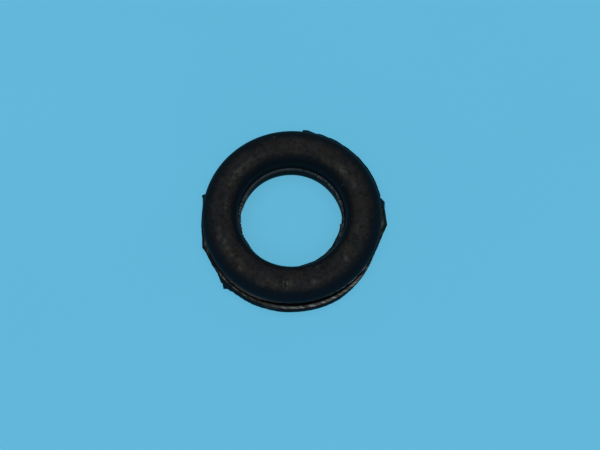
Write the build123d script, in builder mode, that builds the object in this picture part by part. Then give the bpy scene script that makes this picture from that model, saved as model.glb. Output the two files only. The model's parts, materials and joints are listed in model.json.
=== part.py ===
from build123d import *
import os
from math import cos, radians, sin

# Moulded rubber bushing, one solid. Millimetres, +Z up along the bore.
# The origin is on the bore's axis, in the middle of the groove that seats on a panel's edge.
# Directions around the rim are degrees, anticlockwise from +X as seen from above.

# Driving sizes
flange_d = 28.2         # outside of both flanges
bore_d = 17.0           # the hole the cable or rod goes through
edge_h = 0.95           # edge of each flange, from the groove up to its half-round crown
edge_lean = 0.15        # how far that edge tucks in towards the groove
seat_d = 22.0           # root of the groove, which fills the panel's hole
seat_w = 2.0            # width of the groove, the panel's thickness
root_chamfer = 0.3      # corners at the groove's root

# Fins of squeezed-out rubber where the mould's three plates met
lip_out = 0.06          # trimmed line under the upper flange, past its edge
lip_t = 0.15
web_t = 0.18            # the stretch of that line that was left untrimmed
skirt_t = 0.25          # ragged fin along the top of the lower flange
skirt_level = 0.40      # how far the fin runs level before it droops
skirt_reach = 1.60      # how far a fin that has lost nothing reaches
bore_fin_z = 0.40       # height at which the two core pins met
bore_fin_out = 0.20     # fin on the bore's wall, into the hole
bore_fin_t = 0.20
bore_fin_tip_t = 0.08
fin_root = 1.0          # depth to which each fin is one with its flange

# Worked out from the sizes above
flange_r = flange_d / 2
bore_r = bore_d / 2
seat_r = seat_d / 2
crown_r = (flange_r - bore_r) / 2       # each crown is a half round over the full wall
crown_mid_r = (flange_r + bore_r) / 2
groove_z = seat_w / 2                   # each face of the groove, above and below the origin
spring_z = groove_z + edge_h            # height at which the half round begins
top_z = spring_z + crown_r              # height of each crown from the origin
edge_r = flange_r - edge_lean           # where each flange's edge meets the groove


def rim(degrees, past):
    """A point past the flange's edge by a given distance, in a given direction."""
    reach = flange_r + past
    return (reach * cos(radians(degrees)), reach * sin(radians(degrees)))


# The body: the upright wall of the bore, two half-round crowns and the groove between them
with BuildPart() as body:
    with BuildSketch(Plane.XZ) as section:
        with BuildLine():
            Line((bore_r, -spring_z), (bore_r, spring_z))
            ThreePointArc((bore_r, spring_z), (crown_mid_r, top_z), (flange_r, spring_z))
            Polyline(
                (flange_r, spring_z),
                (edge_r, groove_z),
                (seat_r, groove_z),
                (seat_r, -groove_z),
                (edge_r, -groove_z),
                (flange_r, -spring_z),
            )
            ThreePointArc((flange_r, -spring_z), (crown_mid_r, -top_z), (bore_r, -spring_z))
        make_face()
        groove_roots = section.vertices().filter_by_position(
            Axis.X, seat_r - 0.01, seat_r + 0.01
        )
        chamfer(groove_roots, length=root_chamfer)
    revolve(axis=Axis.Z)

# The trimmed line round the upper flange, a fine ridge just above the groove
with BuildPart() as lip:
    with BuildSketch(Plane.XZ):
        with BuildLine():
            Polyline(
                (edge_r - fin_root, groove_z),
                (edge_r + lip_out, groove_z),
                (edge_r + lip_out, groove_z + lip_t / 2),
                (edge_r, groove_z + lip_t),
                (edge_r - fin_root, groove_z + lip_t),
                close=True,
            )
        make_face()
    revolve(axis=Axis.Z)

# The stretch of the same line that was left on, with a nub and a step where it was torn
with BuildPart() as web:
    with BuildSketch(Plane.XY.offset(groove_z)):
        with BuildLine():
            Line(rim(10, -fin_root), rim(14, 0.50))
            ThreePointArc(rim(14, 0.50), rim(47, 0.75), rim(76, 0.88))
            Polyline(rim(76, 0.88), rim(80, 1.09), rim(83, 0.90), rim(84, -fin_root))
            ThreePointArc(rim(84, -fin_root), rim(47, -fin_root), rim(10, -fin_root))
        make_face()
    extrude(amount=web_t)

# The ragged fin of the lower flange: a thin skirt that runs level and then droops,
# cut to the outline that tearing left. Straight stretches are tears, arcs are whole.
with BuildPart() as skirt:
    with BuildSketch(Plane.XZ):
        level_r = flange_r + skirt_level
        end_r = flange_r + skirt_reach
        droop = skirt_reach - skirt_level
        bend = skirt_t * 0.41           # offset of the bend under a fin that turns down 45 degrees
        with BuildLine():
            Polyline(
                (flange_r - fin_root, -groove_z),
                (level_r, -groove_z),
                (end_r, -groove_z - droop),
                (end_r, -groove_z - droop - skirt_t * 1.41),
                (level_r - bend, -groove_z - skirt_t),
                (flange_r - fin_root, -groove_z - skirt_t),
                close=True,
            )
        make_face()
    revolve(axis=Axis.Z)
    with BuildSketch(Plane.XY.offset(-top_z)):
        with BuildLine():
            ThreePointArc(rim(16, 0.80), rim(88, 0.65), rim(161, 0.65))
            Polyline(rim(161, 0.65), rim(162.6, 1.42), rim(164.9, 0.95), rim(169.5, 0.60))
            ThreePointArc(rim(169.5, 0.60), rim(183, 0.43), rim(191, 0.58))
            Polyline(rim(191, 0.58), rim(197.2, 0.93), rim(201.4, 0.60))
            ThreePointArc(rim(201.4, 0.60), rim(209, 0.48), rim(216, 0.53))
            Polyline(
                rim(216, 0.53),
                rim(221.8, 0.98),
                rim(223.4, 0.98),
                rim(225.6, 1.38),
                rim(227.6, 1.00),
                rim(232, 0.83),
            )
            ThreePointArc(rim(232, 0.83), rim(262, 0.81), rim(299, 0.74))
            ThreePointArc(rim(299, 0.74), rim(314, 0.44), rim(331.5, 0.15))
            Polyline(
                rim(331.5, 0.15),
                rim(341, 0.20),
                rim(347, 0.42),
                rim(358.2, 1.30),
                rim(362.6, 1.13),
                rim(368.5, 1.12),
                rim(373.1, 1.46),
                rim(376, 0.80),
            )
        make_face()
    extrude(amount=2 * top_z, mode=Mode.INTERSECT)

# The thin fin left on the bore's wall where the two core pins met
with BuildPart() as bore_fin:
    with BuildSketch(Plane.XZ):
        with BuildLine():
            Polyline(
                (bore_r + fin_root, bore_fin_z - bore_fin_t / 2),
                (bore_r, bore_fin_z - bore_fin_t / 2),
                (bore_r - bore_fin_out, bore_fin_z - bore_fin_tip_t / 2),
                (bore_r - bore_fin_out, bore_fin_z + bore_fin_tip_t / 2),
                (bore_r, bore_fin_z + bore_fin_t / 2),
                (bore_r + fin_root, bore_fin_z + bore_fin_t / 2),
                close=True,
            )
        make_face()
    revolve(axis=Axis.Z)

# All of it is one moulding
with BuildPart() as bushing:
    add(body.part)
    add(lip.part)
    add(web.part)
    add(skirt.part)
    add(bore_fin.part)

os.makedirs("parts", exist_ok=True)
bushing.part.label = "bushing"
export_step(bushing.part, "parts/bushing.step")
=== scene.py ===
# %% [markdown]
# # A rubber bushing that still wears its moulding flash
# The object is one piece of black rubber: two half-round flanges, a bore through them, and between
# them a groove that seats on the edge of a panel. It came out of a mould of three plates, and where
# the plates met the rubber squeezed out in thin fins. Two ran round the rim and one round the bore.
# They were torn off by hand, so the rim is ragged.
# The construction model arrives as a fixed frame in metres, with +Z up along the bore. This notebook
# gives the same moulding its finish. It could be a dressed copy of the solid, but a torn edge needs
# far more points than a solid carries, so the surface is worked out afresh on one closed grid.

# %% Load the frame
import json
import math

import bpy
import numpy as np
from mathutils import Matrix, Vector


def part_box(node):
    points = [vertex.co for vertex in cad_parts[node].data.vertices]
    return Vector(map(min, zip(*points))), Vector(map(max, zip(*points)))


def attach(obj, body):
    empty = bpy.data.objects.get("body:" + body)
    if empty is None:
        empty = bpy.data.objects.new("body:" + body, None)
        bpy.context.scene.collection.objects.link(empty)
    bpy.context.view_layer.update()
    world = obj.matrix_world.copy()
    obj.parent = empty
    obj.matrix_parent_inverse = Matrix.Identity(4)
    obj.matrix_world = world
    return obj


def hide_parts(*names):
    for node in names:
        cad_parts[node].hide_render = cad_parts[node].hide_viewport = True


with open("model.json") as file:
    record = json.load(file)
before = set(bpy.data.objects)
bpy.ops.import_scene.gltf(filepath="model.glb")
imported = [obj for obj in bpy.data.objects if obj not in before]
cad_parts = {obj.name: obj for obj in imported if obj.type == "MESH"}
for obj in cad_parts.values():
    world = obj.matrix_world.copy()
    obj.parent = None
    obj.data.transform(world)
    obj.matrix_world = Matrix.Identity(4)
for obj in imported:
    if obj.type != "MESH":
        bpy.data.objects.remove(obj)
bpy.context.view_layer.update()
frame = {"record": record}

MM = 0.001

# %% [markdown]
# ## Sizes
# A bushing is made to fit. Its bore takes a cable or a rod, and its groove takes a panel's edge.
# Every size could be typed in again here, but the bore is known from the part's own mount and the
# height from the solid's box, so those two are read, and the half-round crowns follow from them.
# Everything below is in millimetres until it goes into a mesh.

# %% Sizes of the moulding
bore_mount = next(mount for mount in frame["record"]["mounts"] if mount["name"] == "bore")
bore_r = bore_mount["dims"]["r_mm"]
top_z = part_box("bushing")[1].z / MM
groove_z = 1.0                          # half the groove's width
edge_h = 0.95                           # a flange's edge, from the groove to the half round
edge_lean = 0.15                        # that edge tucks in towards the groove
seat_r = 11.0                           # root of the groove
root_r = 0.3                            # corners at the groove's root
spring_z = groove_z + edge_h            # where the half round begins
crown_r = top_z - spring_z
crown_mid_r = bore_r + crown_r
flange_r = bore_r + 2 * crown_r
edge_r = flange_r - edge_lean
print(f"crown radius {crown_r:.2f}, flange radius {flange_r:.2f}, height {2 * top_z:.2f}")

# %% [markdown]
# ## The torn outline
# What was left untorn on the rim follows a circle that is a little off the axis, and a tear runs
# straight from corner to corner. The outline could be drawn as one smooth curve through all its
# corners, but that would round them off, so each stretch is worked out by the rule it was made by.

# %% Outlines of the two rim fins, as (direction, reach past the flange)
WHOLE, TORN = "whole", "torn"
skirt_stretches = [
    (WHOLE, [(16, 0.80), (88, 0.65), (161, 0.65)]),
    (TORN, [(161, 0.65), (162.6, 1.42), (164.9, 0.95), (169.5, 0.60)]),
    (WHOLE, [(169.5, 0.60), (183, 0.43), (191, 0.58)]),
    (TORN, [(191, 0.58), (197.2, 0.93), (201.4, 0.60)]),
    (WHOLE, [(201.4, 0.60), (209, 0.48), (216, 0.53)]),
    (TORN, [(216, 0.53), (221.8, 0.98), (223.4, 0.98), (225.6, 1.38), (227.6, 1.00), (232, 0.83)]),
    (WHOLE, [(232, 0.83), (262, 0.81), (299, 0.74)]),
    (WHOLE, [(299, 0.74), (314, 0.44), (331.5, 0.15)]),
    (TORN, [(331.5, 0.15), (341, 0.20), (347, 0.42), (358.2, 1.30), (362.6, 1.13)]),
    (TORN, [(362.6, 1.13), (368.5, 1.12), (373.1, 1.46), (376, 0.80)]),
]
web_stretches = [
    (TORN, [(10.4, -0.09), (14, 0.45)]),
    (WHOLE, [(14, 0.45), (47, 0.72), (75, 0.82)]),
    (TORN, [(75, 0.82), (80, 1.09), (83.4, 0.92), (84.2, -0.09)]),
]
print("stretches of the skirt:", len(skirt_stretches), "and of the web:", len(web_stretches))


# %% Straight tears and whole stretches
def tear(degrees, start, end):
    """Reach of a straight line between two rim points, seen from the axis.

    It is the product of both reaches and the sine of the angle between them, over the sum of each
    point's reach times the sine of the angle from that point."""
    (first, first_reach), (last, last_reach) = start, end
    span = math.sin(math.radians(last - first))
    from_first, to_last = np.radians(degrees - first), np.radians(last - degrees)
    return first_reach * last_reach * span / (
        first_reach * np.sin(from_first) + last_reach * np.sin(to_last)
    )


def off_axis_circle(degrees, points):
    """Reach of a circle a little off the axis: a constant, plus shares of the direction's cosine
    and sine. The three numbers are solved from three points of the rim."""
    at = np.radians([point[0] for point in points])
    shares = np.stack([np.ones(3), np.cos(at), np.sin(at)], axis=1)
    constant, along_x, along_y = np.linalg.solve(shares, [point[1] for point in points])
    return constant + along_x * np.cos(np.radians(degrees)) + along_y * np.sin(np.radians(degrees))


def outline(degrees, stretches, elsewhere):
    """Reach from the axis in every direction: one stretch after another, and elsewhere a constant."""
    reach = np.full(degrees.shape, elsewhere, float)
    for kind, points in stretches:
        rim = [(at, flange_r + past) for at, past in points]
        pieces = [rim] if kind == WHOLE else [rim[i : i + 2] for i in range(len(rim) - 1)]
        for piece in pieces:
            turned = np.where(degrees < piece[0][0], degrees + 360, degrees)
            inside = (turned >= piece[0][0]) & (turned <= piece[-1][0])
            line = off_axis_circle(turned, piece) if kind == WHOLE else tear(turned, *piece)
            reach = np.where(inside, line, reach)
    return reach


# %% [markdown]
# ## Directions round the rim
# A section of the rubber is worked out in every direction, in degrees anticlockwise from +X. An even
# fan of directions would cut the tips off the sharpest teeth, so the corners of the torn outline,
# and both sides of a step in the bore's fin, get directions of their own.

# %% The fan of directions
EVEN_DIRECTIONS = 720
bore_step = (352.4, 352.6)              # before and after the step in the bore's fin
own_corners = [at % 360 for _, points in skirt_stretches + web_stretches for at, _ in points]
own_corners += bore_step
fan = np.append(np.arange(EVEN_DIRECTIONS) * 360 / EVEN_DIRECTIONS, own_corners)
fan = np.unique(np.round(fan, 2))
print(len(fan), "directions, widest step", round(float(np.diff(fan).max()), 2), "degrees")


# %% [markdown]
# ## Unevenness
# Nothing on a hand-torn edge repeats, but a grid has to close on itself after a full turn. Plain
# noise would leave a jump there. A sum of waves with a whole number of crests round the rim has
# none, and a seeded generator gives the same moulding on every run. Where something happens at one
# place only, a bell-shaped hump puts it there.

# %% Waves, humps and ramps
def waves(degrees, crests, seed):
    """Sum of cosines, one for each whole number of crests in a range, with random sizes and
    phases, scaled so that its usual size is about one."""
    random = np.random.default_rng(seed)
    counts = np.arange(*crests)
    size = random.normal(size=counts.size) * math.sqrt(2 / counts.size)
    phase = random.uniform(0, 2 * math.pi, counts.size)
    angle = np.radians(degrees)[..., None] * counts + phase
    return (np.cos(angle) * size).sum(-1)


def away_from(degrees, centre):
    """Angle to a centre, taken the short way round: from half a turn back to half a turn on."""
    return (degrees - centre + 180) % 360 - 180


def hump(degrees, centre, half_width):
    """One in the middle of a stretch of the rim, falling smoothly to nothing: a bell curve of the
    angle to the centre."""
    return np.exp(-((away_from(degrees, centre) / half_width) ** 2))


def humps(degrees, stretches):
    """Sum of humps, each given by its direction, half width and height."""
    return sum(height * hump(degrees, at, half) for at, half, height in stretches)


def ramp(value, start, end):
    """Nothing before the start and one past the end, with an S between: 3t squared less 2t cubed."""
    t = np.clip((value - start) / (end - start), 0, 1)
    return t * t * (3 - 2 * t)


# %% [markdown]
# ## Facets along a torn fin
# Rubber tears in short slanting steps, and each step leaves a small facet that catches the light
# in its own way. A facet is a cell of a slanted ruler laid round the rim, with its own tilt and a
# slight hollow that leaves a fine ridge between cells. It could be a texture, but these facets are
# up to two millimetres long and the eye counts them, so they are shape.

# %% A slanted ruler of facets
FACET_COUNT = 200
FACET_SLANT = -5.0                      # degrees for each millimetre outwards
RULER_AT = 0.32                         # the ruler lies this far out from the flange's edge
FRONT_START, FRONT_END = 250, 322       # here the facets are placed one by one
facet_random = np.random.default_rng(41)
facet_widths = facet_random.uniform(0.5, 1.6, FACET_COUNT)
facet_starts = np.cumsum(facet_widths) * 360 / facet_widths.sum()
facet_shine = facet_random.uniform(0, 1, FACET_COUNT) ** 2
# the longest facets lie along the front, as (direction where one starts, shine), where shine sets
# how strong the facet's painted highlight is
front_facets = [
    (250, 0.30), (256, 0.45), (263, 0.80), (267.5, 0.70), (275, 1.00), (277.6, 0.15), (281, 1.00),
    (285.2, 0.35), (289, 1.00), (291.6, 0.45), (296.5, 1.00), (299, 0.15), (301, 0.55), (303, 0.35),
    (305, 0.80), (307, 0.30), (310.5, 1.00), (313, 0.80), (316, 0.50), (319, 0.60), (321, 0.10),
]
elsewhere = (facet_starts < FRONT_START) | (facet_starts > FRONT_END)
facet_starts = np.concatenate([[0.0], facet_starts[elsewhere], [at for at, _ in front_facets]])
facet_shine = np.concatenate([[0.1], facet_shine[elsewhere], [shine for _, shine in front_facets]])
in_turn = np.argsort(facet_starts)
facet_starts, facet_shine = facet_starts[in_turn], facet_shine[in_turn]
facet_tilt = facet_random.normal(size=facet_starts.size)
print("facets round the rim:", facet_starts.size - 1)


def facets(degrees, across):
    """Place inside a facet from 0 to 1, and the facet's own tilt, shine and width in degrees. The
    facet is looked up at the direction plus the slant times the distance out from the ruler."""
    along = (degrees + FACET_SLANT * (across - RULER_AT)) % 360
    cell = np.clip(np.searchsorted(facet_starts, along, side="right") - 1, 0, facet_starts.size - 2)
    width = facet_starts[cell + 1] - facet_starts[cell]
    return (along - facet_starts[cell]) / width, facet_tilt[cell], facet_shine[cell], width


def facet_body(place):
    """One over most of a facet and nothing at its ends: one less the sixth power of the distance
    from its middle, counted in half facets."""
    return 1 - np.abs(2 * place - 1) ** 6


# %% [markdown]
# ## The section, stretch by stretch
# One closed loop is followed in every direction: up the bore's wall and over its fin, over the upper
# crown, down to the trimmed line or the web that was left on it, in and out of the groove, along
# the ragged skirt and back under it, and round the lower crown. Separate pieces pushed into each
# other would be quicker to make, but one moulding has no joins. Each stretch gives two arrays, the
# distance from the axis and the height, with a row for each direction.

# %% Helpers for stretches
TIP_STEPS = 4                           # round the tip of a fin


def steps(count, first=True, last=True):
    """Even steps from 0 to 1, with or without their ends."""
    return np.linspace(0, 1, count + 1)[0 if first else 1 : None if last else -1]


def straight(start, end, count, **ends):
    """A straight stretch: its start plus a growing share of the way to its end. A start or an end
    is a pair of numbers or of columns with a row for each direction."""
    t = steps(count, **ends)
    column = [np.broadcast_to(np.asarray(v, float), fan.shape)[:, None] for v in (*start, *end)]
    return column[0] + t * (column[2] - column[0]), column[1] + t * (column[3] - column[1])


def tip(centre_r, centre_z, radius, first_angle, last_angle, count):
    """A rounded tip: an arc about a centre that differs from direction to direction."""
    turn = np.radians(first_angle + steps(count) * (last_angle - first_angle))
    r = centre_r[:, None] + radius * np.cos(turn)
    return r, centre_z[:, None] + radius * np.sin(turn)


def joined(*stretches):
    """One stretch after another, as one array of distances and one of heights."""
    return [np.concatenate(parts, axis=1) for parts in zip(*stretches)]


# %% [markdown]
# ## The bore's wall
# The bore was formed by two pins that met inside it, and they were a little out of line. Below the
# meeting line the wall stands further in on one side, and above it the wall is a hair further left.
# The solid keeps its bore true, so that a gauge passes through it, and the step is added here, where
# the eye finds it as a dark crescent under the fin.

# %% The step in the bore
# direction, half width of the stretch, distance that the lower wall stands in
pin_steps = [(20, 58, 0.42), (150, 22, 0.10)]
upper_pin_gap, upper_pin_shift = 0.03, 0.10
wall_step = humps(fan, pin_steps)
lower_bore_r = bore_r - wall_step
fin_root_r = bore_r - upper_pin_gap - upper_pin_shift * np.cos(np.radians(fan))
print(f"the lower wall stands in by {wall_step.min():.2f} to {wall_step.max():.2f}")

# %% [markdown]
# ## The crowns
# Each flange ends in a half round over the full wall, as smooth as the mould's own turned groove.
# A plain torus would give that, but rubber never lies quite round, so a slow unevenness takes a few
# hundredths of a millimetre off. It only ever takes off, and the crown stays inside the solid's box.

# %% Upper crown and lower crown
CROWN_LOSS = 0.012
UPPER, LOWER = 1, -1


def crown(sign, count):
    """Half a turn from the bore's wall to the flange's edge. The distance from the axis is the
    crown's middle less its radius times the cosine, the height its radius times the sine. The lower
    crown starts from the lower wall, and its step fades by half of one plus the cosine, squared."""
    turn = steps(count) * math.pi
    loss = CROWN_LOSS * (1 + waves(fan, (3, 9), 5 + sign))[:, None] * np.sin(turn) ** 2
    radius = crown_r - np.abs(loss)
    fading = (0.5 + 0.5 * np.cos(turn)) ** 2
    step_in = wall_step[:, None] * fading if sign == LOWER else 0.0
    return crown_mid_r - radius * np.cos(turn) - step_in, sign * (spring_z + radius * np.sin(turn))


# %% [markdown]
# ## The fin in the bore
# Where the two pins met, a thin fin of rubber was left, deep in places and torn into small teeth on
# the left. It ends in a tab with a step at the right. An even ring would read as a machined lip, so
# its reach is given direction by direction, and waves and teeth are laid over that.

# %% Reach of the fin in the bore
fin_z = 0.40                            # height at which the pins met
fin_root_t, fin_tip_t = 0.20, 0.07
fin_sag = 0.10                          # for each millimetre of reach
fin_wave, fin_teeth = 0.025, 0.06
fin_limits = (0.08, 0.83)
# direction, reach into the hole; it deepens into a tab that ends in the step
fin_course = [
    (0, 0.58), (8, 0.67), (20, 0.66), (35, 0.56), (60, 0.50), (85, 0.47), (112, 0.40), (135, 0.50),
    (155, 0.62), (165, 0.55), (174, 0.41), (184, 0.37), (192, 0.44), (198, 0.33), (210, 0.41),
    (227, 0.35), (250, 0.40), (282, 0.54), (298, 0.67), (312, 0.66), (324, 0.75), (333, 0.79),
    (342, 0.75), (bore_step[0], 0.84), (bore_step[1], 0.64), (360, 0.58),
]
fin_reach = np.interp(fan, *zip(*fin_course))
fin_reach += fin_wave * waves(fan, (5, 30), 11) * (1 - hump(fan, 100, 25))
saw_teeth = ramp(fan, 150, 163) * (1 - 0.8 * ramp(fan, 196, 206)) * (1 - ramp(fan, 235, 250))
fin_reach += saw_teeth * fin_teeth * waves(fan, (80, 150), 12)
fin_reach = np.clip(fin_reach, *fin_limits)
print(f"bore fin reaches {fin_reach.min():.2f} to {fin_reach.max():.2f} into the hole")


# %% Section of the fin in the bore
def bore_fin(count):
    """Out along the fin's underside, round its tip and back along its top, with a slight sag that
    grows with the reach."""
    sag = fin_sag * waves(fan, (4, 24), 13) * fin_reach
    half = fin_tip_t / 2
    foot, head = fin_z - fin_root_t / 2, fin_z + fin_root_t / 2
    middle_r, middle_z = bore_r - fin_reach + half, fin_z + sag
    under = straight((lower_bore_r, foot), (middle_r, middle_z - half), count, last=False)
    end = tip(middle_r, middle_z, half, 270, 90, TIP_STEPS)
    back = straight((middle_r, middle_z + half), (fin_root_r, head), count, first=False)
    return joined(under, end, back)


# %% [markdown]
# ## The trimmed line and the web
# The upper flange's fin was cut off close, which leaves a fine line just above the groove. At the
# far right it was missed, and a web of it is still there, with a nub and a step where it was torn.
# Line and web could be two pieces, but they are one fin of two lengths, so one reach covers both.

# %% Reach of the rim fin
lip_t, web_t, web_tip_t = 0.15, 0.18, 0.075
lip_out, lip_wave, lip_least = 0.06, 0.02, 0.02
web_nibble, web_curl, web_curl_limit = 0.015, 0.10, 0.12
# direction, half width of the stretch, how much further out the knife left the line
careless_cuts = [(226, 22, 0.16), (246, 12, 0.11), (282, 18, -0.06), (323, 10, 0.05)]
web_reach = outline(fan, web_stretches, 0.0)
lip_reach = edge_r + lip_out + lip_wave * waves(fan, (20, 90), 21) + humps(fan, careless_cuts)
on_web = web_reach > lip_reach
web_reach -= on_web * web_nibble * np.abs(waves(fan, (30, 170), 22))
rim_reach = np.where(on_web, web_reach, np.maximum(lip_reach, edge_r + lip_least))
rim_root_t = np.where(on_web, web_t, lip_t)
print(f"trimmed line up to {rim_reach[~on_web].max() - edge_r:.2f} past the edge,",
      f"web up to {rim_reach[on_web].max() - flange_r:.2f} past the flange")


# %% Section of the rim fin
def rim_fin(count):
    """Out along the web's top, round its tip and back underneath, to the groove's corner. The web
    curls up and down by a share of its reach squared."""
    reach = rim_reach - edge_r
    curl = np.clip(web_curl * waves(fan, (6, 40), 23) * reach ** 2, -web_curl_limit, web_curl_limit)
    half = web_tip_t / 2
    middle_r, middle_z = rim_reach - half, groove_z + half + curl
    over = straight((edge_r, groove_z + rim_root_t), (middle_r, middle_z + half), count, last=False)
    end = tip(middle_r, middle_z, half, 90, -90, TIP_STEPS)
    back = straight((middle_r, middle_z - half), (edge_r, groove_z), count - 2, first=False)
    return joined(over, end, back)


# %% [markdown]
# ## The panel groove
# The groove takes the edge of the panel. Only its mouth shows, as a black line, but the part is
# looked at from all sides, so its faces and its rounded root are made in full. The mould gave it
# true faces, and nothing was torn in there, so this stretch has no unevenness.

# %% Section of the groove
GROOVE_FACE_STEPS, GROOVE_CORNER_STEPS = 4, 3


def groove():
    """In along the upper face, round the root and out along the lower face. The corners at the
    root are quarter arcs."""
    corner_r = np.full(fan.shape, seat_r + root_r)
    corner_z = np.full(fan.shape, groove_z - root_r)
    inner_r, count = seat_r + root_r, GROOVE_FACE_STEPS
    upper = straight((edge_r, groove_z), (inner_r, groove_z), count, first=False, last=False)
    upper_corner = tip(corner_r, corner_z, root_r, 90, 180, GROOVE_CORNER_STEPS)
    lower_corner = tip(corner_r, -corner_z, root_r, 180, 270, GROOVE_CORNER_STEPS)
    lower = straight((inner_r, -groove_z), (edge_r, -groove_z), count, first=False, last=False)
    return joined(upper, upper_corner, lower_corner, lower)


# %% [markdown]
# ## The ragged skirt
# The lower flange kept most of its fin. It runs level past the upper flange, where its facets show,
# and then droops, because the tear pulled it down. It could be a flat ring bent by a modifier, but
# the droop and the outline change from place to place, so the height is a function of the distance
# from the axis and of the direction.

# %% Outline and bend of the skirt
skirt_level = 0.32                      # level as far past the flange as this, then it droops
skirt_root_t, skirt_tip_t = 0.25, 0.10
droop_bend = 0.07                       # how softly it turns down
usual_droop, droop_change = 0.95, 0.25  # fall for each millimetre past the bend
fine_tearing, coarse_tearing = 0.022, 0.012
steepest_fall, steepest_rise = -1.6, 0.4
facet_relief, facet_hollow, skirt_roll, skirt_set_down = 0.020, 0.012, 0.025, 0.02
relief_start, relief_full = 0.02, 0.15  # past the flange's edge
widest_counted = 3.0                    # degrees; a facet wider than this gets no more relief
# direction, half width of the stretch, how much longer the level part is
longer_level = [(2, 18, 0.46), (198, 14, 0.12)]
# direction, half width and size of what a slow waviness adds to the outline
outline_swells = [
    (169, 6, 0.10), (182, 7, 0.14), (210, 5, 0.08), (256, 10, 0.05), (292, 6, 0.03), (316, 18, 0.08),
]
skirt_level_r = (flange_r + skirt_level + humps(fan, longer_level))[:, None]
skirt_reach = outline(fan, skirt_stretches, flange_r + 0.5) + humps(fan, outline_swells)
skirt_reach -= fine_tearing * np.abs(waves(fan, (60, 260), 31))
skirt_reach -= coarse_tearing * np.abs(waves(fan, (12, 60), 32))
droop = usual_droop + droop_change * waves(fan, (4, 26), 33)
print(f"skirt reaches {skirt_reach.min() - flange_r:.2f} to {skirt_reach.max() - flange_r:.2f}",
      "past the flange")


# %% Section of the skirt
def skirt_top(r):
    """Height of the skirt's upper side: level out to the bend, then falling. The bend is a soft
    one, the logarithm of one plus the exponential of the distance past it. Facets add their tilt
    and their hollow, the more the wider they are."""
    past = (r - skirt_level_r) / droop_bend
    fall = droop_bend * np.logaddexp(0, past) * droop[:, None]
    place, tilt, _, width = facets(fan[:, None], r - edge_r)
    relief = facet_relief * tilt * (2 * place - 1) - facet_hollow
    relief = relief * facet_body(place) * np.minimum(width, widest_counted) / 2
    on_top = ramp(r, edge_r + relief_start, edge_r + relief_full)
    roll = skirt_roll * waves(fan, (8, 40), 34)[:, None]
    return -groove_z - fall + (relief + roll - skirt_set_down) * on_top


def skirt(count):
    """Out along the top, round the tip and back along the underside, which lies the skirt's
    thickness below the top, square to it."""
    half = skirt_tip_t / 2
    t = steps(count)
    top_r = edge_r + t * (skirt_reach - half - edge_r)[:, None]
    top_height = skirt_top(top_r)
    step = 0.01
    slope = (skirt_top(top_r + step) - skirt_top(top_r - step)) / (2 * step)
    slope = np.clip(slope, steepest_fall, steepest_rise)
    lean = np.sqrt(1 + slope ** 2)
    thick = skirt_root_t + t * (skirt_tip_t - skirt_root_t)
    under_r = top_r + thick * slope / lean
    under_height = top_height - thick / lean
    out_r, out_z = (1 / lean)[:, -1:], (slope / lean)[:, -1:]
    turn = np.radians([50.0, 0.0, -50.0])
    middle_r = (top_r[:, -1:] + under_r[:, -1:]) / 2
    middle_z = (top_height[:, -1:] + under_height[:, -1:]) / 2
    end_r = middle_r + half * (np.cos(turn) * out_r - np.sin(turn) * out_z)
    end_z = middle_z + half * (np.cos(turn) * out_z + np.sin(turn) * out_r)
    back = slice(None, None, -2)        # the underside is hidden, so every other point will do
    top, end = (top_r, top_height), (end_r, end_z)
    return joined(top, end, (under_r[:, back], under_height[:, back]))


# %% [markdown]
# ## From sections to one mesh
# The stretches are laid end to end, and each keeps the numbers of its stations, because the finishes
# ask for them later. A grid of directions and stations then becomes four-sided faces. Both ways
# round the last row meets the first, so the mesh has no open edge and no pole. The corners of each
# face are listed so that its normal points out of the rubber.

# %% The whole loop
CROWN_STEPS, LOWER_CROWN_STEPS, SKIRT_STEPS = 22, 16, 22
BORE_FIN_STEPS, RIM_FIN_STEPS = 5, 7
LOWER_WALL_STEPS, UPPER_WALL_STEPS, EDGE_STEPS = 4, 3, 3


def edge_at(z):
    """Distance of a flange's leaning edge from the axis, at a height."""
    return edge_r + edge_lean * (np.abs(z) - groove_z) / edge_h


def section():
    """The stretches of one closed loop, and the stations that each of them takes."""
    upper_r, upper_z = crown(UPPER, CROWN_STEPS)
    lower_r, lower_z = crown(LOWER, LOWER_CROWN_STEPS)
    lip_top = groove_z + rim_root_t
    foot, head = fin_z - fin_root_t / 2, fin_z + fin_root_t / 2
    skirt_foot = -groove_z - skirt_root_t
    parts = {
        "lower wall": straight(
            (lower_bore_r, -spring_z), (lower_bore_r, foot), LOWER_WALL_STEPS, last=False
        ),
        "bore fin": bore_fin(BORE_FIN_STEPS),
        "upper wall": straight(
            (fin_root_r, head), (bore_r, spring_z), UPPER_WALL_STEPS, first=False
        ),
        "upper crown": (upper_r[:, 1:], upper_z[:, 1:]),
        "upper edge": straight(
            (flange_r, spring_z), (edge_at(lip_top), lip_top), EDGE_STEPS, first=False
        ),
        "rim fin": rim_fin(RIM_FIN_STEPS),
        "groove": groove(),
        "skirt": skirt(SKIRT_STEPS),
        "lower edge": straight(
            (edge_at(skirt_foot), skirt_foot), (flange_r, -spring_z), EDGE_STEPS, last=False
        ),
        "lower crown": (lower_r[:, :0:-1], lower_z[:, :0:-1]),
    }
    starts = np.cumsum([0] + [part[0].shape[1] for part in parts.values()])
    stations = {name: slice(a, b) for name, a, b in zip(parts, starts, starts[1:])}
    r, z = joined(*parts.values())
    return r, z, stations


loop_r, loop_z, stations = section()
print("stations:", loop_r.shape[1], "triangles:", 2 * loop_r.size)


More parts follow.
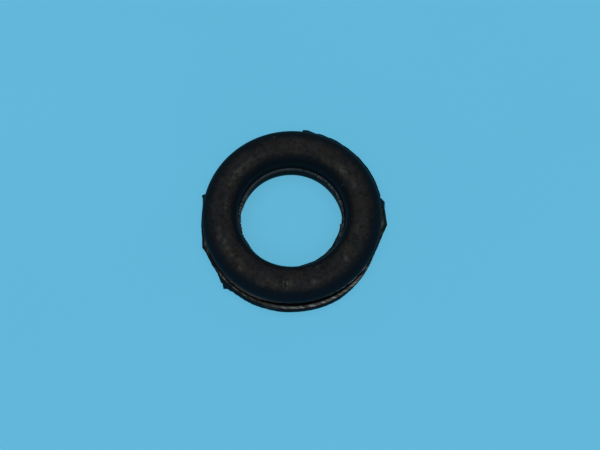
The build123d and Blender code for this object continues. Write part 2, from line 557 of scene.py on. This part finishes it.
# %% Build the closed grid
def closed_grid(name, r, z):
    """Points at the distance times the cosine and sine of the direction; faces between each point
    and its next ones round and along, counted with a remainder so that both ways close."""
    rows, columns = r.shape
    angle = np.radians(fan)[:, None]
    points = np.stack([r * np.cos(angle), r * np.sin(angle), z], axis=-1) * MM
    i, j = np.arange(rows)[:, None], np.arange(columns)[None, :]
    here, next_round = i * columns, (i + 1) % rows * columns
    next_along = (j + 1) % columns
    corners = [here + j, here + next_along, next_round + next_along, next_round + j]
    mesh = bpy.data.meshes.new(name)
    mesh.from_pydata(points.reshape(-1, 3), [], np.stack(corners, axis=-1).reshape(-1, 4))
    mesh.validate()
    piece = bpy.data.objects.new(name, mesh)
    bpy.context.scene.collection.objects.link(piece)
    return piece


SHARP_ANGLE = 40                        # degrees; a gentler edge is shaded smooth
moulding = closed_grid("bushing_moulding", loop_r, loop_z)
moulding.data.shade_smooth()
moulding.data.set_sharp_from_angle(angle=math.radians(SHARP_ANGLE))
print("faces:", len(moulding.data.polygons))


# %% [markdown]
# ## Bloom, painted shade and scuffs on the crowns
# A dull grey bloom settles on top of the crowns and rubs off their shoulders, less towards the front
# and the left; where it fades it also paints the shade of the shoulders that turn from the light.
# Where the crown was handled, it was rubbed paler in small marks. Noise alone could break up the
# surface, but it wouldn't know where the top of a crown is, so two numbers are worked out at every
# point and carried by the mesh: one says how much bloom lies there, painted shade included, and
# `scuff` marks where it was rubbed.

# %% Bloom, with painted shade on the shoulders
def carry(piece, name, values):
    """Stores one number from 0 to 1 for each point of the mesh."""
    values = np.clip(values, 0, 1)
    layer = piece.data.attributes.new(name, "FLOAT", "POINT")
    layer.data.foreach_set("value", values.astype(np.float32).ravel())
    print(f"{name}: mean {values.mean():.3f}, highest {values.max():.2f}")


on_crown = np.zeros(loop_r.shape)
on_crown[:, stations["upper crown"]] = 1
on_crown[:, stations["lower crown"]] = 1
toward_front = hump(fan, 270, 50)[:, None]
toward_left = hump(fan, 190, 32)[:, None]
# distances from the axis where the bloom fades, which also paints the shoulders' shade: on the inner
# shoulder, and on the outer one where it changes round the rim
bloom_start, bloom_full = 8.80, 9.90
fade_from = 11.2 + 1.35 * toward_front + 0.5 * toward_left
fade_to = 13.35 - 0.10 * toward_front + 0.35 * toward_left
bloom = on_crown * ramp(loop_r, bloom_start, bloom_full) * (1 - ramp(loop_r, fade_from, fade_to))
carry(moulding, "bloom", bloom)


# %% Scuffs
def scuffs(degrees, r, marks):
    """A sum of soft marks, each a bell curve of the distance along the rim and across it."""
    total = np.zeros(r.shape)
    for at, centre_r, along, across, strength in marks:
        distance = np.radians(away_from(degrees, at)) * r
        total += strength * np.exp(-((distance / along) ** 2) - ((r - centre_r) / across) ** 2)
    return total


# direction, distance from the axis, half length along the rim, half width across it, strength
crown_marks = [
    (21, 10.4, 0.40, 0.25, 0.6), (27.5, 10.4, 0.6, 0.13, 0.75), (28, 10.75, 0.55, 0.13, 0.6),
    (29, 9.0, 0.14, 0.35, 0.25), (39, 10.25, 1.1, 0.33, 0.6), (56, 9.75, 1.3, 0.30, 0.14),
    (84.5, 11.1, 0.35, 0.25, 0.25), (96, 11.1, 0.5, 0.2, 0.15), (103, 12.4, 0.15, 0.15, 0.5),
    (117, 10.2, 0.7, 0.30, 0.18), (127, 10.4, 0.6, 0.35, 0.13), (135, 10.35, 0.8, 0.40, 0.28),
    (144, 10.4, 0.7, 0.38, 0.65), (151, 10.45, 0.6, 0.35, 0.35), (158, 10.55, 0.7, 0.30, 0.22),
    (176, 10.2, 1.1, 0.2, 0.3), (196, 11.6, 0.4, 0.35, 0.4), (202, 11.9, 0.50, 0.3, 0.30),
    (206, 10.7, 1.2, 0.45, 0.08), (207, 11.5, 0.42, 0.32, 0.45), (213, 11.6, 0.42, 0.28, 0.38),
    (219, 11.7, 0.34, 0.26, 0.32), (227, 11.4, 0.7, 0.35, 0.18), (230, 12.1, 0.55, 0.33, 0.32),
    (245, 11.1, 0.5, 0.25, 0.18), (249, 12.6, 0.55, 0.25, 0.3), (253, 11.8, 0.15, 0.3, 0.4),
    (257.5, 12.2, 0.6, 0.3, 0.22), (264, 11.5, 0.12, 0.5, 0.8), (267, 12.0, 0.14, 0.4, 0.7),
    (270, 11.8, 0.5, 0.5, 0.25), (286, 12.0, 0.5, 0.3, 0.55), (293, 9.9, 0.2, 0.2, 0.5),
    (316, 11.3, 0.35, 0.4, 0.5), (322, 10.4, 1.6, 0.55, 0.11), (345, 10.5, 1.7, 0.75, 0.11),
]
carry(moulding, "scuff", scuffs(fan[:, None], loop_r, crown_marks) * on_crown * (loop_z > 0))

# %% [markdown]
# ## Painted light on the torn rubber
# A fresh tear is finer and glossier than the moulded skin, and its facets look pale where they face
# the light. Real gloss could do it alone, but under a wide soft lamp every facet gets nearly the same
# light. So a number carried by the mesh paints each facet's light into its colour: a dull body and a
# glint that slants outwards along it, more of it where the rim was torn afresh. The same number paints
# a highlight on the trimmed line and on the lit top of the bore's fin. It is painted light, not light
# from the lamp, and stays where it is when the part is turned.

# %% Painted light on the facets of the skirt
pale = np.zeros(loop_r.shape)
skirt_r = loop_r[:, stations["skirt"]]
place, _, shine, _ = facets(fan[:, None], skirt_r - edge_r)
# direction, half width of the stretch, how much further out the facets begin to shine
dull_roots = [(220, 32, 0.16), (3, 14, 0.36)]
lit_over = 0.14
lit_from = edge_r + relief_start + humps(fan, dull_roots)[:, None]
level = ramp(skirt_r, lit_from, lit_from + lit_over)
level *= 1 - ramp(skirt_r, skirt_level_r - 0.12, skirt_level_r + 0.06)
facing_up = np.arange(skirt_r.shape[1]) <= SKIRT_STEPS
# direction, half width of the stretch, brightness of the painted light
bright_stretches = [
    (281, 27, 1.0), (310, 14, 0.9), (227, 6, 0.6), (219.5, 4, 1.2), (247, 11, 0.24), (197.5, 4, 0.8),
    (179, 9, 0.12), (3, 13, 0.45), (165, 4, 0.3),
]
# the painted glints are made stronger at two places
stronger_glints = 1 + humps(fan, [(219.5, 3.5, 0.8), (300, 22, 0.3)])
brightness = sum(height * hump(fan, at, half) ** 0.7 for at, half, height in bright_stretches)
brightness = (np.clip(brightness, 0.04, 1.0) * stronger_glints)[:, None]
# a painted glint is a slanting streak: half its length as a share of the facet, half its width and
# its slant in millimetres
glint_length, glint_width, glint_slant = 0.30, 0.10, 0.20
glint_out = skirt_level + 0.5 * (skirt_level_r - flange_r - skirt_level)
glint_r = edge_r + glint_out + glint_slant * (place - 0.5)
glint = np.exp(-(((place - 0.5) / glint_length) ** 2) - ((skirt_r - glint_r) / glint_width) ** 2)
facet_light = 0.08 + 0.38 * shine + 1.15 * shine ** 2 * glint
ridge_light = 0.35                      # what is left at a facet's ends
facet_light *= ridge_light + (1 - ridge_light) * facet_body(place)
# painted light on the level, upward part of the skirt only
pale[:, stations["skirt"]] = level * facing_up * brightness * facet_light
print(f"skirt: brightest facet {pale.max():.2f}")

# %% Painted highlight on the trimmed line
# its painted highlight shows best towards the front right, hardly at the left, and the web is dull
line_base, line_front, line_lost = 0.16, 0.75, 0.9
line_shine = line_base + line_front * hump(fan, 317, 22)
line_shine *= (1 - ramp(fan, 328, 338)) * ~on_web
line_shine *= 1 - line_lost * ramp(fan, 183, 191) * (1 - ramp(fan, 217, 232))
rim_part = stations["rim fin"]
above_mouth = loop_z[:, rim_part] > groove_z + 0.04
pale[:, rim_part] = line_shine[:, None] * above_mouth
print(f"trimmed line: brightest place {line_shine.max():.2f}")

# %% Painted light on the fin in the bore
fin_part = stations["bore fin"]
fin_top = loop_z[:, fin_part] > fin_z
# direction, half width of the stretch, brightness of the painted light on the fin's upper side
fin_stretches = [
    (25, 22, 0.15), (60, 22, 0.08), (92, 14, 0.075), (115, 14, 0.055), (142, 16, 0.12),
    (172, 16, 0.16), (205, 20, 0.05), (316, 26, 0.06), (341, 2.5, 0.20), (351, 2, 0.22),
]
fin_dullest, fin_base, fin_mottle = 0.015, 0.03, 0.45
fin_shine = fin_base + humps(fan, fin_stretches)
mottled = 1 - 0.8 * hump(fan, 115, 38)
fin_shine *= 1 + fin_mottle * mottled * waves(fan, (20, 110), 51)
# the very tip is dull, over a width that differs from place to place, and so is the root
from_tip = loop_r[:, fin_part] - (bore_r - fin_reach)[:, None]
dull_tip = 0.03 + humps(fan, [(118, 55, 0.09), (346, 10, 0.16)])[:, None]
lit_part = fin_top * ramp(from_tip, dull_tip, dull_tip + 0.12)
lit_part *= loop_r[:, fin_part] < fin_root_r[:, None] - 0.02
pale[:, fin_part] = np.clip(fin_shine, fin_dullest, 1)[:, None] * lit_part
carry(moulding, "pale", pale)

# %% [markdown]
# ## Painted reflection of the blue floor
# Clean black rubber reflects some of the blue of what it lies on. A mirror-like surface would show
# that by itself, but rubber is too dull for it, and a stronger gloss would light up the crowns too. So
# the reflection is painted into the colour, and a number carried by the mesh says how much blue is
# painted onto the clean black: full on the shoulders and on what droops, less under the bloom and on
# the lower wall, and none in the groove and on the level facets, which hardly see the floor.

# %% Painted reflection of the floor
# shares of the painted reflection under the bloom and on the lower wall, and how much less at the back
hidden_by_bloom, lean_on_wall, less_at_back = 0.85, 0.35, 0.8
blue_lean = 1 - hidden_by_bloom * bloom
blue_lean[:, stations["lower wall"]] = lean_on_wall * (1 - less_at_back * hump(fan, 90, 40))[:, None]
blue_lean[:, stations["groove"]] = 0
blue_lean[:, rim_part] = on_web[:, None]
blue_lean[:, stations["skirt"]] = ramp(skirt_r, skirt_level_r, skirt_level_r + 0.10)
carry(moulding, "blue_lean", blue_lean)


# %% [markdown]
# ## The rubber
# Black rubber is nearly black by itself. What the eye sees is a weak reflection, and on the crowns
# a dull grey bloom that scatters light. It could be one dark grey with a noise in its roughness, but
# then shoulders and crowns would look alike. The base is therefore very dark, with a painted blue
# reflection of the floor where the mesh asks for it; the bloom raises colour and roughness together
# and its fade paints the shade of the shoulders; and three sizes of noise break it up: patches, a
# mottle and a fine grain. A fourth and slower noise turns it warmer or cooler.

# %% Node helpers
def new_material(name):
    """A material with its node tree cleared of all but the shader and the output."""
    material = bpy.data.materials.new(name)
    material.use_nodes = True
    return material, material.node_tree.nodes, material.node_tree.links


def noise(nodes, links, place, size_mm, detail=4.0, roughness=0.55):
    """Noise whose blobs are about the given size: the scale is one over that size in metres."""
    node = nodes.new("ShaderNodeTexNoise")
    node.inputs["Scale"].default_value = 1 / (size_mm * MM)
    node.inputs["Detail"].default_value = detail
    node.inputs["Roughness"].default_value = roughness
    links.new(place, node.inputs["Vector"])
    return node.outputs["Fac"]


def attribute(nodes, name):
    """A number that the mesh carries."""
    node = nodes.new("ShaderNodeAttribute")
    node.attribute_name = name
    return node.outputs["Fac"]


def math_node(nodes, links, operation, first, second, clamp=False):
    """Arithmetic between two sockets, or a socket and a number."""
    node = nodes.new("ShaderNodeMath")
    node.operation, node.use_clamp = operation, clamp
    for socket, value in zip(node.inputs, (first, second)):
        if isinstance(value, (int, float)):
            socket.default_value = value
        else:
            links.new(value, socket)
    return node.outputs[0]


def spread(nodes, links, value, low, high, to_low=0.0, to_high=1.0):
    """Stretches a range of values over another, clipped at both ends."""
    node = nodes.new("ShaderNodeMapRange")
    for name, number in zip(("From Min", "From Max", "To Min", "To Max"), (low, high, to_low, to_high)):
        node.inputs[name].default_value = number
    links.new(value, node.inputs["Value"])
    return node.outputs["Result"]


def blend_colour(nodes, links, share, first, second):
    """A mix of two colours, given as numbers or as sockets."""
    node = nodes.new("ShaderNodeMix")
    node.data_type = "RGBA"
    links.new(share, node.inputs["Factor"])
    for socket, value in zip((node.inputs[6], node.inputs[7]), (first, second)):
        if isinstance(value, tuple):
            socket.default_value = (*value, 1.0)
        else:
            links.new(value, socket)
    return node.outputs[2]


def bump(nodes, links, height, strength, depth_mm):
    """Bends the shading normal as a relief of the given depth would."""
    node = nodes.new("ShaderNodeBump")
    node.inputs["Strength"].default_value = strength
    node.inputs["Distance"].default_value = depth_mm * MM
    links.new(height, node.inputs["Height"])
    return node


# %% Rubber with bloom, painted shade and a painted reflection
DEEP_BLACK = (0.0007, 0.0008, 0.0009)
# a painted reflection of the blue floor on the clean black
FLOOR_REFLECTION_BLUE = (0.0032, 0.0062, 0.0098)
BLOOM_WARM = (0.0158, 0.0150, 0.0140)
BLOOM_COOL = (0.0128, 0.0135, 0.0148)
SCUFF_GREY = (0.0660, 0.0610, 0.0520)
RUBBER_IOR = 1.07                       # low, so that the shoulders stay dark


def bloomed_rubber():
    """Dark rubber with a painted blue reflection of the floor, bloom and painted shade where the mesh
    says so and noise lets it, scuffs and specks on top.
    """
    material, nodes, links = new_material("bloomed_rubber")
    shader = nodes["Principled BSDF"]
    place = nodes.new("ShaderNodeTexCoord").outputs["Object"]
    patches = noise(nodes, links, place, size_mm=2.2, detail=5, roughness=0.6)
    mottle = noise(nodes, links, place, size_mm=0.55, detail=3, roughness=0.65)
    grain = noise(nodes, links, place, size_mm=0.20, detail=3, roughness=0.6)
    tint = noise(nodes, links, place, size_mm=3.0, detail=2)
    # the share of bloom, painted shade of the shoulders included: patches, thinned and thickened by the
    # mottle and the grain
    share = spread(nodes, links, patches, 0.30, 0.70, to_low=0.60, to_high=1.0)
    speckle = spread(nodes, links, mottle, 0.34, 0.66, to_low=0.60, to_high=1.46)
    share = math_node(nodes, links, "MULTIPLY", share, speckle)
    fine_speckle = spread(nodes, links, grain, 0.30, 0.70, to_low=0.74, to_high=1.26)
    share = math_node(nodes, links, "MULTIPLY", share, fine_speckle)
    share = math_node(nodes, links, "MULTIPLY", share, attribute(nodes, "bloom"), clamp=True)
    warmth = spread(nodes, links, tint, 0.4, 0.6)
    dull = blend_colour(nodes, links, warmth, BLOOM_COOL, BLOOM_WARM)
    # the clean black with a painted reflection of the blue floor
    clean_black_and_reflection = blend_colour(nodes, links, attribute(nodes, "blue_lean"), DEEP_BLACK, FLOOR_REFLECTION_BLUE)
    colour = blend_colour(nodes, links, share, clean_black_and_reflection, dull)
    rubbed = spread(nodes, links, mottle, 0.32, 0.62, to_low=0.10, to_high=1.25)
    rubbed = math_node(nodes, links, "MULTIPLY", rubbed, attribute(nodes, "scuff"), clamp=True)
    colour = blend_colour(nodes, links, rubbed, colour, SCUFF_GREY)
    links.new(colour, shader.inputs["Base Color"])
    rough = spread(nodes, links, share, 0, 1, to_low=0.44, to_high=0.60)
    links.new(rough, shader.inputs["Roughness"])
    shader.inputs["IOR"].default_value = RUBBER_IOR
    coarse = bump(nodes, links, patches, strength=0.5, depth_mm=0.05)
    fine = bump(nodes, links, grain, strength=0.35, depth_mm=0.012)
    links.new(coarse.outputs["Normal"], fine.inputs["Normal"])
    links.new(fine.outputs["Normal"], shader.inputs["Normal"])
    print(material.name, "has", len(nodes), "nodes")
    return material


moulding.data.materials.append(bloomed_rubber())

# %% [markdown]
# ## Torn flash
# The fins are the same rubber without the moulded skin. It could share the rubber's material, but a
# tear has a sharper sheen and a grain of its own, and the painted light on its facets would need yet
# another number in there. Its own material keeps both easy to read.

# %% Torn rubber
# the blue is a painted reflection of the floor, and the pale colour is painted light
FLASH_FLOOR_REFLECTION = (0.0014, 0.0085, 0.0150)
FLASH_PAINTED_LIGHT = (0.2100, 0.2150, 0.2050)
FLASH_IOR = 1.13


def torn_flash():
    """Fresh rubber: dark where it is whole or turned down, with a painted blue reflection of the floor
    there, and painted light on the facets.
    """
    material, nodes, links = new_material("torn_flash")
    shader = nodes["Principled BSDF"]
    place = nodes.new("ShaderNodeTexCoord").outputs["Object"]
    grain = noise(nodes, links, place, size_mm=0.22, detail=4, roughness=0.65)
    # the painted light on the facets, broken up by the grain
    share = spread(nodes, links, grain, 0.3, 0.7, to_low=0.55, to_high=1.15)
    share = math_node(nodes, links, "MULTIPLY", share, attribute(nodes, "pale"), clamp=True)
    # painted reflection of the blue floor on the dark rubber
    dark = blend_colour(nodes, links, attribute(nodes, "blue_lean"), DEEP_BLACK, FLASH_FLOOR_REFLECTION)
    colour = blend_colour(nodes, links, share, dark, FLASH_PAINTED_LIGHT)
    links.new(colour, shader.inputs["Base Color"])
    rough = spread(nodes, links, grain, 0.3, 0.7, to_low=0.28, to_high=0.42)
    links.new(rough, shader.inputs["Roughness"])
    shader.inputs["IOR"].default_value = FLASH_IOR
    relief = bump(nodes, links, grain, strength=0.4, depth_mm=0.02)
    links.new(relief.outputs["Normal"], shader.inputs["Normal"])
    print(material.name, "has", len(nodes), "nodes")
    return material


moulding.data.materials.append(torn_flash())

# %% [markdown]
# ## Dress the moulding
# Which of the two materials a face gets follows from the station it starts at. The moulding then
# takes the solid's place: the solid is hidden, and the moulding rides with the part's only body.

# %% Faces of the fins get the torn rubber
face_station = np.arange(loop_r.shape[1])
is_fin = np.zeros(loop_r.shape[1], bool)
for name in ("bore fin", "rim fin", "skirt"):
    is_fin |= (face_station >= stations[name].start) & (face_station < stations[name].stop - 1)
slots = np.broadcast_to(is_fin.astype(np.int32), loop_r.shape)
moulding.data.polygons.foreach_set("material_index", np.ascontiguousarray(slots).ravel())
moulding.data.update()
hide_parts("bushing")
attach(moulding, "root")
print("share of faces with torn rubber:", round(float(slots.mean()), 2))

# %% [markdown]
# ## Floor
# The bushing lies on a plain pale blue surface with hardly any shadow, as under wide soft light. A
# floor that is only lit would come out uneven, and one that only glows would lose the shadow, so the
# eye sees a share of each: most of it the plain colour, the rest the lit surface.

# %% Floor
FLOOR_BLUE = (0.125, 0.479, 0.701)
FLOOR_SIZE = 4000.0                     # a side of it, in millimetres
FLOOR_MOTTLE = 0.985                    # the darker patches, as a share of the floor's colour
BACKDROP_SHARE = 0.80                   # how much of what the eye sees there is the plain colour


def floor():
    """A wide square just under the lower crown, with the faintest mottling."""
    half = FLOOR_SIZE / 2 * MM
    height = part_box("bushing")[0].z
    mesh = bpy.data.meshes.new("floor")
    corners = [(x, y, height) for x, y in ((-half, -half), (half, -half), (half, half), (-half, half))]
    mesh.from_pydata(corners, [], [(0, 1, 2, 3)])
    piece = bpy.data.objects.new("floor", mesh)
    bpy.context.scene.collection.objects.link(piece)
    material, nodes, links = new_material("pale_blue_floor")
    place = nodes.new("ShaderNodeTexCoord").outputs["Object"]
    mottle = spread(nodes, links, noise(nodes, links, place, size_mm=60.0, detail=2), 0.3, 0.7)
    darker = tuple(channel * FLOOR_MOTTLE for channel in FLOOR_BLUE)
    colour = blend_colour(nodes, links, mottle, darker, FLOOR_BLUE)
    shader = nodes["Principled BSDF"]
    links.new(colour, shader.inputs["Base Color"])
    shader.inputs["Roughness"].default_value = 0.9
    shader.inputs["Specular IOR Level"].default_value = 0.1
    own_light = nodes.new("ShaderNodeEmission")
    links.new(colour, own_light.inputs["Color"])
    path = nodes.new("ShaderNodeLightPath")
    seen = math_node(nodes, links, "ADD", path.outputs["Is Camera Ray"], path.outputs["Is Glossy Ray"])
    seen = math_node(nodes, links, "ADD", seen, path.outputs["Is Transmission Ray"], clamp=True)
    backdrop = nodes.new("ShaderNodeMixShader")
    links.new(math_node(nodes, links, "MULTIPLY", seen, BACKDROP_SHARE), backdrop.inputs["Fac"])
    links.new(shader.outputs[0], backdrop.inputs[1])
    links.new(own_light.outputs[0], backdrop.inputs[2])
    links.new(backdrop.outputs[0], nodes["Material Output"].inputs["Surface"])
    mesh.materials.append(material)
    print("floor at", round(height / MM, 3), "mm")


floor()

# %% [markdown]
# ## Light
# One wide soft lamp hangs overhead and a little to the front, and the world fills in from all round.
# A small lamp would draw hard lines on the crowns, which real rubber under a soft lamp doesn't show.
# Together they light a white surface to just about white, so a colour looks as it is written.

# %% Lamp
bpy.context.scene.view_settings.view_transform = "Standard"
LAMP_ENERGY, LAMP_WIDTH, LAMP_TILT = 2.5, 60, 15    # width and tilt in degrees


def soft_sun(name):
    """A lamp as far off as the sun, but as wide as the given angle, so its shadows stay soft. The
    tilt brings its light from a little to the front."""
    lamp = bpy.data.lights.new(name, "SUN")
    lamp.energy, lamp.angle = LAMP_ENERGY, math.radians(LAMP_WIDTH)
    holder = bpy.data.objects.new(name, lamp)
    holder.rotation_euler = (math.radians(LAMP_TILT), 0, 0)
    bpy.context.scene.collection.objects.link(holder)
    print(name, "is", LAMP_WIDTH, "degrees wide")


soft_sun("overhead_softbox")

# %% World
HORIZON_BAND = (0.10, 0.55)             # sines of the height between which blue turns neutral
HORIZON_LEVEL, FILL_LEVEL = 0.9, 0.22


def studio_world():
    """Neutral fill from above that turns to the floor's blue towards the horizon, where the same
    blue surface runs on out of the picture. The blend goes by the height of the direction."""
    world = bpy.data.worlds.new("studio")
    world.use_nodes = True
    nodes, links = world.node_tree.nodes, world.node_tree.links
    axes = nodes.new("ShaderNodeSeparateXYZ")
    links.new(nodes.new("ShaderNodeTexCoord").outputs["Generated"], axes.inputs["Vector"])
    height = spread(nodes, links, axes.outputs["Z"], *HORIZON_BAND)
    horizon = tuple(channel * HORIZON_LEVEL for channel in FLOOR_BLUE)
    colour = blend_colour(nodes, links, height, horizon, (FILL_LEVEL, FILL_LEVEL, FILL_LEVEL))
    links.new(colour, nodes["Background"].inputs["Color"])
    bpy.context.scene.world = world
    print("fill from above", FILL_LEVEL)


studio_world()

# %% [markdown]
# ## Camera
# The bore looks like an ellipse, and the far and near rims differ a little in width. From how much,
# the camera's height and distance follow: 72 degrees above the floor and 131 mm away. Both could be
# guessed by eye, but a wrong distance bends every rim, so they are fitted and kept as numbers.

# %% Camera
ELEVATION = math.radians(72)
PIXELS_PER_MM = 6.28                    # at the bushing's middle
CAMERA_PIXELS = 824                     # distance to the camera on the same scale
IMAGE_WIDTH, SENSOR = 600, 36.0
AIM_RIGHT_PX, AIM_UP_PX = 8.0, -6.3     # from the bushing's middle to the picture's
NEAR_CLIP = 0.001


def camera():
    """The camera stands back along its own line of sight from the point that it aims at."""
    data = bpy.data.cameras.new("camera")
    data.sensor_width, data.lens = SENSOR, SENSOR * CAMERA_PIXELS / IMAGE_WIDTH
    data.clip_start = NEAR_CLIP
    holder = bpy.data.objects.new("camera", data)
    bpy.context.scene.collection.objects.link(holder)
    distance = CAMERA_PIXELS / PIXELS_PER_MM * MM
    right, up = (pixels / PIXELS_PER_MM * MM for pixels in (AIM_RIGHT_PX, AIM_UP_PX))
    sine, cosine = math.sin(ELEVATION), math.cos(ELEVATION)
    holder.location = (right, -cosine * distance + up * sine, sine * distance + up * cosine)
    holder.rotation_euler = (math.pi / 2 - ELEVATION, 0, 0)
    bpy.context.scene.camera = holder
    print(f"camera {distance / MM:.0f} mm away, lens {data.lens:.1f} mm")


camera()
